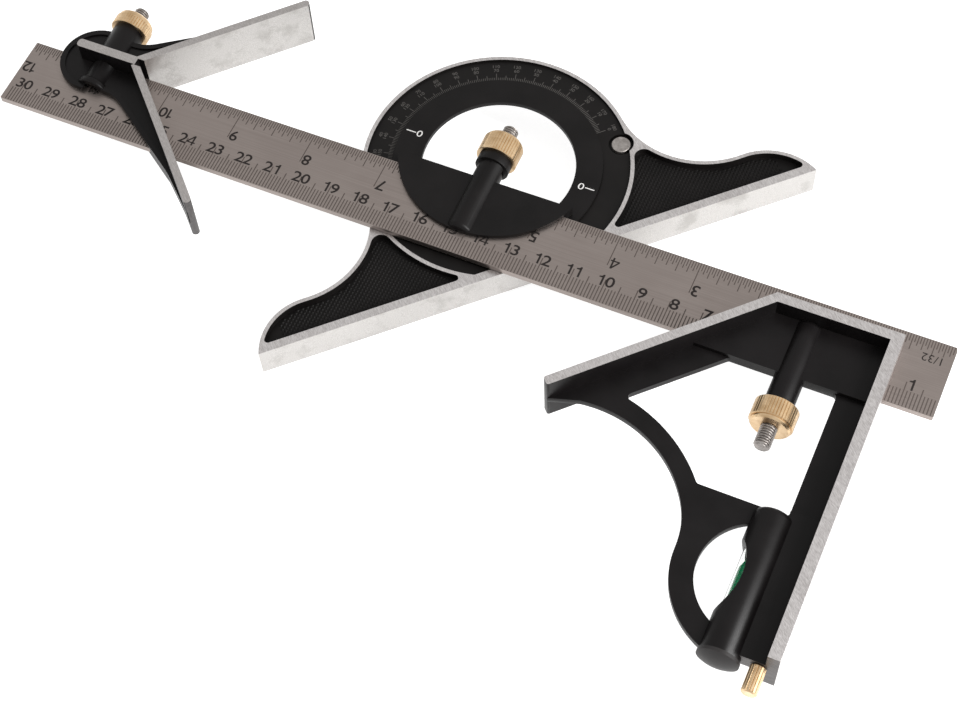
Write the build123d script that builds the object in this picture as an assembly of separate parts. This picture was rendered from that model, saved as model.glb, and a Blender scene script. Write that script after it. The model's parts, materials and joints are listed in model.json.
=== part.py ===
"""Combination square set: a rule with a square head, a protractor head and a centre head.

The rule lies along X with its zero end at X = 0 and its numbers rising towards -X.
Y runs across the rule, from the centimetre edge to the inch edge, and Z is normal to its faces.
The origin is the centre of the rule's zero end.
"""
import os
from math import acos, atan2, cos, hypot, pi, radians, sin, sqrt

from build123d import *

os.makedirs("parts", exist_ok=True)

# ---- rule -------------------------------------------------------------------------------------
RULE_LENGTH = 304.8
RULE_WIDTH = 24.0
RULE_THICK = 2.0
GROOVE_WIDTH = 3.0
GROOVE_DEPTH = 0.8
RULE_CORNER = 0.4

HALF_WIDTH = RULE_WIDTH / 2
HALF_THICK = RULE_THICK / 2
SLOT_GAP = 0.04                      # between the rule and the faces that guide it
SLOT_HALF = HALF_THICK + SLOT_GAP
SEAT = HALF_WIDTH + SLOT_GAP         # slot floor, measured from the rule's centre line

# ---- rule clamp, the same in all three heads ---------------------------------------------------
# Distances are measured from the rule's centre line towards the nut.
CLAMP_BORE_R = 3.3
CLAMP_ROD_R = 3.2
CLAMP_TRAVEL = 1.0                   # one and a quarter turns of the nut
ROD_END = 0.0
END_GAP = 0.2                        # left beyond the rod and the collar at full travel
BORE_END = ROD_END - CLAMP_TRAVEL - END_GAP
COLLAR_START = SEAT + CLAMP_TRAVEL + END_GAP
COLLAR_THICK = 1.2
COLLAR_END = COLLAR_START + COLLAR_THICK
SPRING_LENGTH = 4.9
BORE_STEP = COLLAR_END + SPRING_LENGTH
SHANK_R = 2.2
THREAD_R = 2.45
THREAD_RUNOUT = 0.5
THREAD_START = BORE_STEP + THREAD_RUNOUT
NUT_R = 6.5
NUT_EDGE = 0.25                      # chamfer at the boss's side
NUT_HUB_R = 6.0                      # smooth end of the nut, beyond the knurling
NUT_HUB_EDGE = 0.5
THREAD_GAP = 0.05
FIT_GAP = 0.04                       # between faces that turn or slide on one another
THROUGH = 20.0                       # half-length of a cutter that passes right through
BOSS_R = 4.3
TOOTH_START = 0.28                   # the tooth bears on the groove's wall on the nut's side
TOOTH_FIT = 0.02
TOOTH_END = GROOVE_WIDTH / 2 - TOOTH_FIT
TOOTH_WIDTH = 4.8
TOOTH_GAP = 0.15                     # between the tooth's top and the groove's floor
TOOTH_ROOT = 0.5                     # how far the tooth reaches into the rod
TIP_CHAMFER = 0.5
SPRING_WIRE_R = 0.36
SPRING_MEAN_R = 2.72
SPRING_TURNS = 4
KNURL_COUNT = 44
KNURL_WIDTH = 0.62                   # side of the square cutter that makes one knurl groove
KNURL_OUT = 0.28                     # how far the cutter stands outside the nut

# ---- square head -------------------------------------------------------------------------------
SQ_FACE_X = -14.5                    # the 90 degree face
SQ_HEEL_Y = -99.3
SQ_TOP_Y = 5.9
SQ_LINE_45 = -57.67                  # the 45 degree face lies on X - Y = this
SQ_LENGTH_45 = 72.0
SQ_RIM_90 = 3.45
SQ_RIM_TOP = 3.0
SQ_RIM_45 = 2.8
SQ_RIM_HALF = 8.8
SQ_INNER_X = SQ_FACE_X - SQ_RIM_90
SQ_INNER_TOP = SQ_TOP_Y - SQ_RIM_TOP
SQ_INNER_LINE = SQ_LINE_45 + SQ_RIM_45 * sqrt(2)
SQ_TIP_FILLET = 0.7
SQ_WINDOW_FILLET = 1.2
SQ_WEB_HALF = 1.1
SQ_PLATE_HALF = 2.7
SQ_PLATE_Y = -15.2
SQ_PLATE_BEVEL = 3.1                 # height of the bevel along the foot of the plate's back half
SQ_BEVEL_SLOPE = 0.7
SQ_BOSS_LAP = 0.4                    # how far the boss's rounded end enters the rim
BOSS_FILLET = 1.4
SQ_BOLT_X = -40.4
SQ_NUT_Y = 24.6
SQ_NUT_LENGTH = 7.1
SQ_NUT_HUB = 1.1                     # length of the nut's smooth end
SQ_BOLT_TIP = 38.4
SQ_ARM_X = -26.4                     # inner edge of the arm behind the 90 degree face
SQ_INNER_45 = -42.9                  # inner edge of the arm behind the 45 degree face
SQ_CROSS_Y = -56.0                   # top of the web that carries the level
SQ_THICK_Y = -54.9                   # top of the thicker part of the arm beside the barrel
SQ_ARC_CENTRE = (-86.9, -80.5)       # outer edge of the arched band
SQ_ARC_R = 36.6
SQ_ARC_FROM = 4.9                    # the arc starts this far on the tip's side of its centre
SQ_ARC_END = 36.3                    # degrees above the rule's direction
SQ_BAND_CENTRE = (-90.1, -84.1)      # inner edge of the arched band
SQ_BAND_R = 46.8
SQ_RING_CENTRE = (-25.6, -76.5)
SQ_RING_R = 25.8
SQ_HOLE_CENTRE = (-27.0, -77.2)
SQ_HOLE_R = 17.6

# ---- level in the square head ------------------------------------------------------------------
LEVEL_X = -30.0
BARREL_R = 5.7
BARREL_TOP_Y = -56.5
BARREL_LOW_Y = -100.8
BARREL_FILLET = 2.0
LEVEL_BORE_R = 4.4
LEVEL_BORE_TOP_Y = -60.0
WINDOW_CENTRE_Y = -78.2
WINDOW_DEEP_X = -31.9                # bottom of the scooped window
WINDOW_R = 19.0
VIAL_R = 4.35
VIAL_BORE_R = 3.8
VIAL_TOP_Y = -62.0
VIAL_LENGTH = 28.0
VIAL_WALL = 1.6
VIAL_FILLET = 1.0
PLUG_LENGTH = 3.2
LIQUID_FIT = 0.02
BUBBLE_CENTRE_Y = WINDOW_CENTRE_Y + 6.5
BUBBLE_LENGTH = 8.0
BUBBLE_DEPTH = 2.6
SPACER_BORE_R = 3.1
SPIGOT_LENGTH = 3.0
CAP_R = 5.95
CAP_RIM = 1.0
CAP_DOME = 1.5

# ---- scriber -----------------------------------------------------------------------------------
SCRIBER_X = -19.5
NEEDLE_R = 0.9
NEEDLE_LENGTH = 40.0
NEEDLE_POINT = 5.0
NEEDLE_TIP_R = 0.12
NEEDLE_FIT = 0.03
SCRIBER_BORE_R = 1.15
BUSH_R = 1.7
BUSH_LENGTH = 7.0
KNOB_R = 2.25
KNOB_LENGTH = 8.2
KNOB_KNURLS = 16
KNOB_CHAMFER = 0.4

# ---- protractor head ---------------------------------------------------------------------------
PR_X = -146.8
PR_Y = 24.0
PR_TURN = 43.6                       # base edge, degrees from the rule
PR_TOP_Z = -1.2
PR_BACK_Z = -11.8
PR_RING_R = 41.9
PR_WALL = 1.2
PR_BASE_V = -38.0                    # base edge, from the dial's centre
PR_BASE_BAND = 2.7
PR_HUMP = (71.0, -42.5)
PR_HUMP_R = 18.1
PR_NECK_R = 27.0
PR_SPAN = 200.0                      # larger than the whole head
PR_PANEL_DEPTH = 2.4
PR_PANEL_FILLET = 1.1
PR_PANEL_CORNER = 3.0                # the panel's rounder corner, beside the turret's clamp
PR_BACK_DEPTH = 4.0
PR_DIAL_Z = -2.0
DIAL_R = 40.7
TURRET_R = 32.4
WINDOW_X = -146.4                    # centre of the turret's window along the rule
TURRET_HOLE_R = 23.8
TURRET_FIT = 0.06
FLANGE_GAP = 0.3
TURRET_SEAT_Z = -HALF_THICK - SLOT_GAP
TURRET_BACK_Z = -7.5
FLANGE_R = 36.0
FLANGE_TOP_Z = -5.0
CAP_PLATE = (-147.2, 25.9)           # centre of the plate's round edge
CAP_PLATE_R = 30.7
CAP_PLATE_TOP = 2.3
CHORD_Y = 15.3                       # straight edge of the plate, beyond the rule's inch edge
HOLLOW_R = 29.8                      # the ring around the window is hollow from behind
HOLLOW_TOP_Z = -2.6
BOSS_SLOT_SETBACK = 0.4              # from the slot's end to the collar
PR_BOLT_X = -147.3
PR_NUT_Y = 24.2
PR_NUT_LENGTH = 7.6
PR_NUT_HUB = 1.1
PR_BOLT_TIP = 36.8
COLLAR_BOSS_R = 5.4
COLLAR_BOSS_LENGTH = 3.2
PR_BOSS_Y = -4.6
BOSS_SLOT = 1.6                      # half-width of the slot that shows the bolt's thread

# ---- clamps that hold the turret ---------------------------------------------------------------
PIN_RADIUS = 38.7
PIN_ANGLE = 10.1                     # each pin lies this far below the base-parallel diameter
PIN_HEAD_R = 2.95
PIN_HEAD_TOP = -1.8
PIN_HEAD_FILLET = 0.35
PIN_SEAT_Z = -3.0
PIN_POCKET_R = 3.85
PIN_SHANK_R = 1.6
PIN_TIP_Z = -17.6
BACK_POCKET_R = 4.35
WASHER_R = 4.0
WASHER_THICK = 1.0
PIN_NUT_R = 3.9
PIN_NUT_LENGTH = 6.0
PIN_NUT_KNURLS = 27
PIN_CHAMFER = 0.5
PIN_GAP = 0.08                       # between the washer and the bolt's shank

# ---- centre head -------------------------------------------------------------------------------
CH_APEX_X = -265.0
CH_ARM = 58.0
CH_ARM_THICK = 2.5
CH_ARM_HALF = 8.7
CH_DISC_X = -282.0
CH_DISC_R = 11.9
CH_PLATE_HALF = 2.7
CH_PANEL_HALF = 2.1                  # the plate inside its raised edge
CH_EDGE = 1.7                        # width of the raised edge
CH_RIB_WIDTH = 3.0
CH_RIB_END_X = -287.6
CH_RIB_Y = 12.4
CH_BOLT_X = -278.6
CH_NUT_Y = 26.8
CH_NUT_LENGTH = 5.4
CH_NUT_HUB = 1.7
CH_BOLT_TIP = 36.6
CH_RIB_FILLET = 1.2
CH_FOOT_FILLET = 0.6
CH_RELIEF = 2.6                      # width of the notch at the apex
CH_RELIEF_DEPTH = 0.9
CH_SLOPE = 34.2                      # degrees, of the webs' outer edges to the rule
CH_FLAT_END = (-8.5, 1.5)            # the web's outer edge: end of its flat, from the apex's X
CH_SLOPE_START = (1.0, -2.4)         # where its slope begins
CH_SLOPE_END = (26.0, -19.2)         # and ends
CH_FIN = (-2.0, -1.5)                # its end, from the arm's end
CH_UPPER_BOSS_R = 5.2
CH_FOOT_Y = 1.7                      # end of the collar at the boss's foot
CH_FOOT_R = 5.3
CH_FOOT_LENGTH = 2.2
CH_SLOT_GAP = 0.2                    # beside the rule's centimetre edge
CH_BACK_BOSS_Y = -1.9                # closed end of the half boss under the rule


# ---- shape helpers -----------------------------------------------------------------------------
def prism(face, z0, z1):
    """A flat face in the XY plane, raised into a solid from z0 to z1."""
    return extrude(Pos(0, 0, z0) * face, amount=z1 - z0, dir=(0, 0, 1))


def polygon(*points):
    return make_face(Polyline(*points, close=True))


def disc(x, y, r):
    return Pos(x, y) * Circle(r)


def block(x0, x1, y0, y1, z0, z1):
    centre = ((x0 + x1) / 2, (y0 + y1) / 2, (z0 + z1) / 2)
    return Pos(*centre) * Box(x1 - x0, y1 - y0, z1 - z0)


def rod_y(x, r, y0, y1):
    """A round bar along Y, on the rule's mid-plane."""
    return Pos(x, (y0 + y1) / 2, 0) * Rot(90, 0, 0) * Cylinder(r, abs(y1 - y0))


def rod_z(x, y, r, z0, z1):
    return Pos(x, y, (z0 + z1) / 2) * Cylinder(r, abs(z1 - z0))


def revolve_y(profile, x):
    """Turn a profile of (radius, y) points about the line through x that runs along Y."""
    return Pos(x, 0, 0) * revolve(polygon(*profile), Axis.Y)


def knurled(solid, r, length, count):
    """Cut straight knurling on a bar of radius r on Z: one groove, repeated around the axis."""
    groove = Pos(r + KNURL_OUT, 0, length / 2) * Rot(0, 0, 45) * Box(KNURL_WIDTH, KNURL_WIDTH, length)
    for i in range(count):
        solid -= Rot(0, 0, 360 * i / count) * groove
    return solid


def chamfered_rod(r, length, edge):
    """A turned bar on Z from 0 to length, chamfered at both ends."""
    profile = [
        (0, 0),
        (r - edge, 0),
        (r, edge),
        (r, length - edge),
        (r - edge, length),
        (0, length),
    ]
    return revolve(make_face(Plane.XZ * Polyline(*profile, close=True)), Axis.Z)


def coil_spring(mean_r, wire_r, length, turns):
    """A round-wire compression spring on Z, with its wire inside 0 to length."""
    pitch = (length - 2 * wire_r) / turns
    path = Pos(0, 0, wire_r) * Helix(pitch, length - 2 * wire_r, mean_r)
    section = Plane(path @ 0, z_dir=path % 0) * Circle(wire_r)
    return sweep(section, path, is_frenet=True)


def save(node, shape):
    export_step(shape.solid(), f"parts/{node}.step")


# ---- clamp pieces, made once on the +Y side of the rule and placed in each head ------------------
def towards_nut(shape, x, side):
    """Place a clamp piece made on Z (0 at the rule's centre line) along Y; side is +1 or -1."""
    return Pos(x, 0, 0) * Rot(-90 * side, 0, 0) * shape


def clamp_bolt(x, side, tip_y):
    """Half-round rod under the rule with a tooth in its groove, then collar, shank and thread."""
    rod = rod_y(x, CLAMP_ROD_R, side * ROD_END, side * COLLAR_START)
    rod &= block(x - CLAMP_ROD_R, x + CLAMP_ROD_R, -SEAT * 2, SEAT * 2, -CLAMP_ROD_R, -SLOT_HALF)
    collar = rod_y(x, CLAMP_ROD_R, side * COLLAR_START, side * COLLAR_END)
    shank = rod_y(x, SHANK_R, side * COLLAR_END, side * THREAD_START)
    thread = rod_y(x, THREAD_R, side * THREAD_START, side * tip_y)
    tooth_y = sorted([side * TOOTH_START, side * TOOTH_END])
    tooth_top = -HALF_THICK + GROOVE_DEPTH - TOOTH_GAP
    tooth = block(x - TOOTH_WIDTH / 2, x + TOOTH_WIDTH / 2, *tooth_y, -SLOT_HALF - TOOTH_ROOT, tooth_top)
    bolt = rod + collar + shank + thread + tooth
    tip = bolt.edges().filter_by(GeomType.CIRCLE).sort_by(Axis.Y)[-1 if side > 0 else 0]
    return chamfer(tip, TIP_CHAMFER)


def clamp_nut(x, side, nut_y, length, hub):
    """A nut knurled on the side of its boss, with a smooth hub of the given length beyond."""
    step = length - hub
    profile = [
        (0, 0),
        (NUT_R - NUT_EDGE, 0),
        (NUT_R, NUT_EDGE),
        (NUT_R, step - NUT_EDGE),
        (NUT_R - NUT_EDGE, step),
        (NUT_HUB_R, step),
        (NUT_HUB_R, length - NUT_HUB_EDGE),
        (NUT_HUB_R - NUT_HUB_EDGE, length),
        (0, length),
    ]
    blank = revolve(make_face(Plane.XZ * Polyline(*profile, close=True)), Axis.Z)
    blank = knurled(blank, NUT_R, step, KNURL_COUNT)
    blank -= Cylinder(THREAD_R + THREAD_GAP, 3 * length)
    return towards_nut(Pos(0, 0, nut_y + FIT_GAP) * blank, x, side)


def clamp_spring(x, side):
    spring = coil_spring(SPRING_MEAN_R, SPRING_WIRE_R, SPRING_LENGTH - 2 * FIT_GAP, SPRING_TURNS)
    return towards_nut(Pos(0, 0, COLLAR_END + FIT_GAP) * spring, x, side)


def clamp_bore(x, side, nut_y):
    """What the clamp removes from a head: the rod's bore and the narrower hole for the thread."""
    wide = rod_y(x, CLAMP_BORE_R, side * BORE_END, side * BORE_STEP)
    narrow = rod_y(x, THREAD_R + 2 * THREAD_GAP, side * (BORE_STEP - 1), side * (nut_y + 1))
    return wide + narrow


def rule_slot(x0, x1, y0, y1):
    return block(x0, x1, y0, y1, -SLOT_HALF, SLOT_HALF)


# ---- rule --------------------------------------------------------------------------------------
def make_rule():
    rule = block(-RULE_LENGTH, 0, -HALF_WIDTH, HALF_WIDTH, -HALF_THICK, HALF_THICK)
    rule = fillet(rule.edges().filter_by(Axis.Z), RULE_CORNER)
    half = GROOVE_WIDTH / 2
    return rule - block(-RULE_LENGTH - 1, 1, -half, half, -HALF_THICK - 1, -HALF_THICK + GROOVE_DEPTH)


# ---- square head -------------------------------------------------------------------------------
def square_tip():
    """Corner between the top and the 45 degree face, and the far end of the 45 degree face."""
    step = SQ_LENGTH_45 / sqrt(2)
    corner = (SQ_TOP_Y + SQ_LINE_45, SQ_TOP_Y)
    return corner, (corner[0] - step, corner[1] - step)


def square_rim():
    """The three working edges: 90 degree face, top and 45 degree face, as one bent strip."""
    corner, tip = square_tip()
    inset = SQ_RIM_45 / sqrt(2)
    rim = polygon(
        (SQ_FACE_X, SQ_HEEL_Y),
        (SQ_FACE_X, SQ_TOP_Y),
        corner,
        tip,
        (tip[0] + inset, tip[1] - inset),
        (SQ_INNER_LINE + SQ_INNER_TOP, SQ_INNER_TOP),
        (SQ_INNER_X, SQ_INNER_TOP),
        (SQ_INNER_X, SQ_HEEL_Y),
    )
    solid = prism(rim, -SQ_RIM_HALF, SQ_RIM_HALF)
    tip_edges = solid.edges().filter_by(Axis.Z).sort_by(Axis.X)[:2]
    return fillet(tip_edges, SQ_TIP_FILLET)


def on_circle(centre, r, angle):
    return (centre[0] + r * cos(angle), centre[1] + r * sin(angle))


def square_web():
    """The flat web behind the rim: 45 degree arm, arched band, level ring and 90 degree arm."""
    corner, tip = square_tip()
    inset = SQ_RIM_45 / sqrt(2)
    lip = (tip[0] + inset, tip[1] - inset)
    low_x = LEVEL_X - BARREL_R + 1
    arc_start = acos(-SQ_ARC_FROM / SQ_ARC_R)
    arc_end = radians(SQ_ARC_END)
    arc = [on_circle(SQ_ARC_CENTRE, SQ_ARC_R, t) for t in (arc_start, (arc_start + arc_end) / 2, arc_end)]
    ring_end = pi + acos((SQ_RING_CENTRE[0] - low_x) / SQ_RING_R)
    ring = [on_circle(SQ_RING_CENTRE, SQ_RING_R, t) for t in (pi, (pi + ring_end) / 2, ring_end)]
    top = SQ_TOP_Y - SQ_RIM_TOP / 2
    edge_x = SQ_FACE_X - SQ_RIM_90 / 2
    edges = [
        Line((edge_x, SQ_HEEL_Y), (edge_x, top)),
        Line((edge_x, top), (corner[0], top)),
        Line((corner[0], top), lip),
        Line(lip, arc[0]),
        ThreePointArc(*arc),
        Spline(arc[2], ring[0], tangents=[(sin(arc_end), -cos(arc_end)), (0, -1)]),
        ThreePointArc(*ring),
        Line(ring[2], (low_x, SQ_HEEL_Y)),
        Line((low_x, SQ_HEEL_Y), (edge_x, SQ_HEEL_Y)),
    ]
    return prism(make_face(Wire(edges)), -SQ_WEB_HALF, SQ_WEB_HALF)


def square_window():
    """The large window between the two arms, with small corner radii."""
    field = polygon(
        (SQ_PLATE_Y + SQ_INNER_45, SQ_PLATE_Y),
        (SQ_ARM_X, SQ_PLATE_Y),
        (SQ_ARM_X, SQ_CROSS_Y),
        (SQ_CROSS_Y + SQ_INNER_45, SQ_CROSS_Y),
    )
    window = prism(field - disc(*SQ_BAND_CENTRE, SQ_BAND_R), -THROUGH, THROUGH)
    return fillet(window.edges().filter_by(Axis.Z), SQ_WINDOW_FILLET)


def housing_plate():
    """The thicker plate that carries the rule's slot, bevelled along the foot of its back half."""
    outline = polygon(
        (SQ_INNER_X + 1, SQ_INNER_TOP + 1),
        (SQ_INNER_X + 1, SQ_PLATE_Y),
        (SQ_INNER_LINE + SQ_PLATE_Y, SQ_PLATE_Y),
        (SQ_INNER_LINE + SQ_INNER_TOP, SQ_INNER_TOP + 1),
    )
    plate = prism(outline, -SQ_PLATE_HALF, SQ_PLATE_HALF)
    foot = plate.faces().sort_by(Axis.Y)[0].edges().sort_by(Axis.Z)[0]
    return chamfer(foot, SQ_PLATE_BEVEL, SQ_PLATE_BEVEL * SQ_BEVEL_SLOPE)


def make_square_head():
    arm = block(SQ_ARM_X, SQ_INNER_X + 1, SQ_HEEL_Y, SQ_THICK_Y, -SQ_PLATE_HALF, SQ_PLATE_HALF)
    barrel = rod_y(LEVEL_X, BARREL_R, BARREL_LOW_Y, BARREL_TOP_Y)
    barrel = fillet(barrel.edges().sort_by(Axis.Y)[-1], BARREL_FILLET)
    boss = rod_y(SQ_BOLT_X, BOSS_R, -SQ_NUT_Y, SQ_INNER_TOP + SQ_BOSS_LAP)
    boss = fillet(boss.edges().sort_by(Axis.Y)[-1], BOSS_FILLET)
    hole = prism(disc(*SQ_HOLE_CENTRE, SQ_HOLE_R), -THROUGH, THROUGH)
    hole &= block(-RULE_LENGTH, LEVEL_X - BARREL_R / 2, -RULE_LENGTH, 0, -THROUGH, THROUGH)
    scoop = prism(disc(WINDOW_DEEP_X - WINDOW_R, WINDOW_CENTRE_Y, WINDOW_R), -THROUGH, THROUGH)
    scoop &= block(LEVEL_X - BARREL_R - 0.1, LEVEL_X, -RULE_LENGTH, 0, -BARREL_R, BARREL_R)
    head = square_rim() + square_web() - square_window() - hole
    head = head + housing_plate() + arm + barrel + boss - scoop
    head -= rod_y(LEVEL_X, LEVEL_BORE_R, BARREL_LOW_Y - 1, LEVEL_BORE_TOP_Y)
    head -= rule_slot(-RULE_LENGTH, 0, -SEAT, HALF_WIDTH)
    head -= clamp_bore(SQ_BOLT_X, -1, SQ_NUT_Y)
    head -= rod_y(SCRIBER_X, SCRIBER_BORE_R, SQ_HEEL_Y - 1, SQ_HEEL_Y + NEEDLE_LENGTH + 1)
    head -= rod_y(SCRIBER_X, BUSH_R, SQ_HEEL_Y - 1, SQ_HEEL_Y + BUSH_LENGTH)
    return head


# ---- level -------------------------------------------------------------------------------------
def make_vial():
    low = VIAL_TOP_Y - VIAL_LENGTH
    tube = rod_y(LEVEL_X, VIAL_R, low, VIAL_TOP_Y)
    tube = fillet(tube.edges().sort_by(Axis.Y)[-1], VIAL_FILLET)
    return tube - rod_y(LEVEL_X, VIAL_BORE_R, low - 1, VIAL_TOP_Y - VIAL_WALL)


def make_level_liquid():
    """The liquid fills the vial but for a bubble that floats against the window's side."""
    high = VIAL_TOP_Y - VIAL_WALL
    low = VIAL_TOP_Y - VIAL_LENGTH + PLUG_LENGTH
    radius = ((BUBBLE_LENGTH / 2)**2 + BUBBLE_DEPTH**2) / (2 * BUBBLE_DEPTH)
    bubble_x = LEVEL_X - VIAL_BORE_R + BUBBLE_DEPTH - radius
    bubble = Pos(bubble_x, BUBBLE_CENTRE_Y, 0) * Sphere(radius)
    return rod_y(LEVEL_X, VIAL_BORE_R - LIQUID_FIT, low, high - LIQUID_FIT) - bubble


def make_vial_plug():
    low = VIAL_TOP_Y - VIAL_LENGTH
    return rod_y(LEVEL_X, VIAL_BORE_R, low, low + PLUG_LENGTH)


def make_vial_spacer():
    """A sleeve between the end cap's spigot and the vial, so that the vial can't shift."""
    low = BARREL_LOW_Y + SPIGOT_LENGTH
    high = VIAL_TOP_Y - VIAL_LENGTH
    return rod_y(LEVEL_X, VIAL_R, low, high) - rod_y(LEVEL_X, SPACER_BORE_R, low - 1, high + 1)


def make_level_cap():
    """Domed end cap whose spigot presses into the barrel."""
    radius = (CAP_R**2 + CAP_DOME**2) / (2 * CAP_DOME)
    low = BARREL_LOW_Y - CAP_RIM
    dome = Pos(LEVEL_X, low - CAP_DOME + radius, 0) * Sphere(radius)
    dome &= rod_y(LEVEL_X, CAP_R, low - CAP_DOME - 1, low)
    rim = rod_y(LEVEL_X, CAP_R, low, BARREL_LOW_Y)
    spigot = rod_y(LEVEL_X, LEVEL_BORE_R, BARREL_LOW_Y, BARREL_LOW_Y + SPIGOT_LENGTH)
    return dome + rim + spigot


# ---- scriber -----------------------------------------------------------------------------------
def make_scriber_needle():
    y0 = SQ_HEEL_Y - KNOB_LENGTH / 2
    y1 = SQ_HEEL_Y + NEEDLE_LENGTH
    profile = [
        (0, y0),
        (NEEDLE_R, y0),
        (NEEDLE_R, y1 - NEEDLE_POINT),
        (NEEDLE_TIP_R, y1),
        (0, y1),
    ]
    return revolve_y(profile, SCRIBER_X)


def make_scriber_knob():
    blank = chamfered_rod(KNOB_R, KNOB_LENGTH, KNOB_CHAMFER)
    blank = knurled(blank, KNOB_R, KNOB_LENGTH, KNOB_KNURLS)
    blank -= Cylinder(NEEDLE_R, KNOB_LENGTH)
    return Pos(SCRIBER_X, SQ_HEEL_Y - FIT_GAP, 0) * Rot(90, 0, 0) * blank


def make_scriber_bush():
    bush = rod_y(SCRIBER_X, BUSH_R, SQ_HEEL_Y, SQ_HEEL_Y + BUSH_LENGTH)
    return bush - rod_y(SCRIBER_X, NEEDLE_R + NEEDLE_FIT, SQ_HEEL_Y - 1, SQ_HEEL_Y + BUSH_LENGTH + 1)


# ---- protractor head ---------------------------------------------------------------------------
def placed(shape):
    """Move a shape from the protractor's own frame, base along +U, to its place on the rule."""
    return Pos(PR_X, PR_Y, 0) * Rot(0, 0, PR_TURN) * shape


def neck_centre():
    """Centre of the arc that touches both the ring and the hump at the base's end."""
    to_ring = PR_RING_R + PR_NECK_R
    to_hump = PR_HUMP_R + PR_NECK_R
    hx, hy = PR_HUMP
    gap = hypot(hx, hy)
    angle = acos((to_ring**2 + gap**2 - to_hump**2) / (2 * to_ring * gap))
    heading = atan2(hy, hx) + angle
    return (to_ring * cos(heading), to_ring * sin(heading))


def towards(a, b, distance):
    length = hypot(b[0] - a[0], b[1] - a[1])
    return (a[0] + (b[0] - a[0]) * distance / length, a[1] + (b[1] - a[1]) * distance / length)


def wing(inset, base_v):
    """One side of the protractor, between ring and base end, drawn inset from its outline."""
    neck = neck_centre()
    hump_r = PR_HUMP_R - inset
    neck_r = PR_NECK_R + inset
    touch = towards(neck, PR_HUMP, neck_r)
    ring_touch = towards((0, 0), neck, PR_RING_R - inset)
    rise = base_v - PR_HUMP[1]
    base_end = (PR_HUMP[0] + sqrt(hump_r**2 - rise**2), base_v)
    hump_mid = (PR_HUMP[0] + hump_r * cos(radians(45)), PR_HUMP[1] + hump_r * sin(radians(45)))
    between = ((ring_touch[0] + touch[0]) / 2, (ring_touch[1] + touch[1]) / 2)
    neck_mid = towards(neck, between, neck_r)
    edges = [
        Line((0, base_v), base_end),
        ThreePointArc(base_end, hump_mid, touch),
        ThreePointArc(touch, neck_mid, ring_touch),
        Line(ring_touch, (0, ring_touch[1])),
        Line((0, ring_touch[1]), (0, base_v)),
    ]
    return make_face(Wire(edges))


def above_base(face, band):
    """The part of a face that lies at least one band's width above the base edge."""
    return face & Pos(0, PR_BASE_V + band + PR_SPAN / 2) * Rectangle(PR_SPAN, PR_SPAN)


def both_sides(shape):
    return shape + mirror(shape, Plane.YZ)


def panels(depth_from, depth_to):
    """The recessed panels in both wings, on one side of the protractor."""
    field = wing(PR_WALL, PR_BASE_V + PR_BASE_BAND) - disc(0, 0, PR_RING_R)
    recess = prism(field, depth_from, depth_to)
    recess = fillet(recess.edges().filter_by(Axis.Z).sort_by(Axis.Y)[-1], PR_PANEL_CORNER)
    recess = fillet(recess.edges().filter_by(Axis.Z).sort_by(Axis.Y)[:2], PR_PANEL_FILLET)
    return both_sides(recess)


def pin_places():
    """Where the two turret clamps stand, in the protractor's own frame."""
    lean = radians(PIN_ANGLE)
    return [(side * PIN_RADIUS * cos(lean), -PIN_RADIUS * sin(lean)) for side in (1, -1)]


def make_protractor_body():
    outline = both_sides(wing(0, PR_BASE_V)) + above_base(disc(0, 0, PR_RING_R), 0)
    body = prism(outline, PR_BACK_Z, PR_TOP_Z)
    body -= prism(above_base(disc(0, 0, DIAL_R), PR_BASE_BAND), PR_DIAL_Z, 0)
    body -= panels(PR_TOP_Z - PR_PANEL_DEPTH, 0)
    body -= panels(PR_BACK_Z - 1, PR_BACK_Z + PR_BACK_DEPTH)
    body -= rod_z(0, 0, TURRET_R + TURRET_FIT, -THROUGH, 0)
    body -= rod_z(0, 0, FLANGE_R + FLANGE_GAP, -THROUGH, FLANGE_TOP_Z + FIT_GAP)
    for x, y in pin_places():
        body -= rod_z(x, y, PIN_POCKET_R, PIN_SEAT_Z, 0)
        body -= rod_z(x, y, PIN_SHANK_R + FIT_GAP, -THROUGH, 0)
        body -= rod_z(x, y, BACK_POCKET_R, -THROUGH, TURRET_BACK_Z)
    return placed(body)


def make_turret():
    """The turning disc: seat below the rule, wall behind its inch edge and cap over it."""
    half_plane = Pos(PR_X, CHORD_Y + PR_SPAN / 2) * Rectangle(PR_SPAN, PR_SPAN)
    hole = disc(WINDOW_X, PR_Y, TURRET_HOLE_R) & half_plane
    hollow = disc(PR_X, PR_Y, HOLLOW_R) & half_plane
    turret = prism(disc(PR_X, PR_Y, TURRET_R) - hole, TURRET_BACK_Z, TURRET_SEAT_Z)
    turret += prism(disc(PR_X, PR_Y, FLANGE_R) - hole, TURRET_BACK_Z, FLANGE_TOP_Z)
    turret -= prism(hollow, TURRET_BACK_Z, HOLLOW_TOP_Z)
    turret += prism(disc(*CAP_PLATE, CAP_PLATE_R) - half_plane, TURRET_SEAT_Z, CAP_PLATE_TOP)
    boss = rod_y(PR_BOLT_X, BOSS_R, PR_BOSS_Y, PR_NUT_Y)
    boss = fillet(boss.edges().sort_by(Axis.Y)[0], BOSS_FILLET)
    collar = rod_y(PR_BOLT_X, COLLAR_BOSS_R, PR_NUT_Y - COLLAR_BOSS_LENGTH, PR_NUT_Y)
    turret = turret + boss + collar
    turret -= rule_slot(-RULE_LENGTH, 0, -RULE_LENGTH, SEAT)
    turret -= clamp_bore(PR_BOLT_X, 1, PR_NUT_Y)
    slot_end = PR_NUT_Y - COLLAR_BOSS_LENGTH - BOSS_SLOT_SETBACK
    return turret - block(PR_BOLT_X, PR_BOLT_X + THROUGH, BORE_STEP, slot_end, -BOSS_SLOT, BOSS_SLOT)


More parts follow.
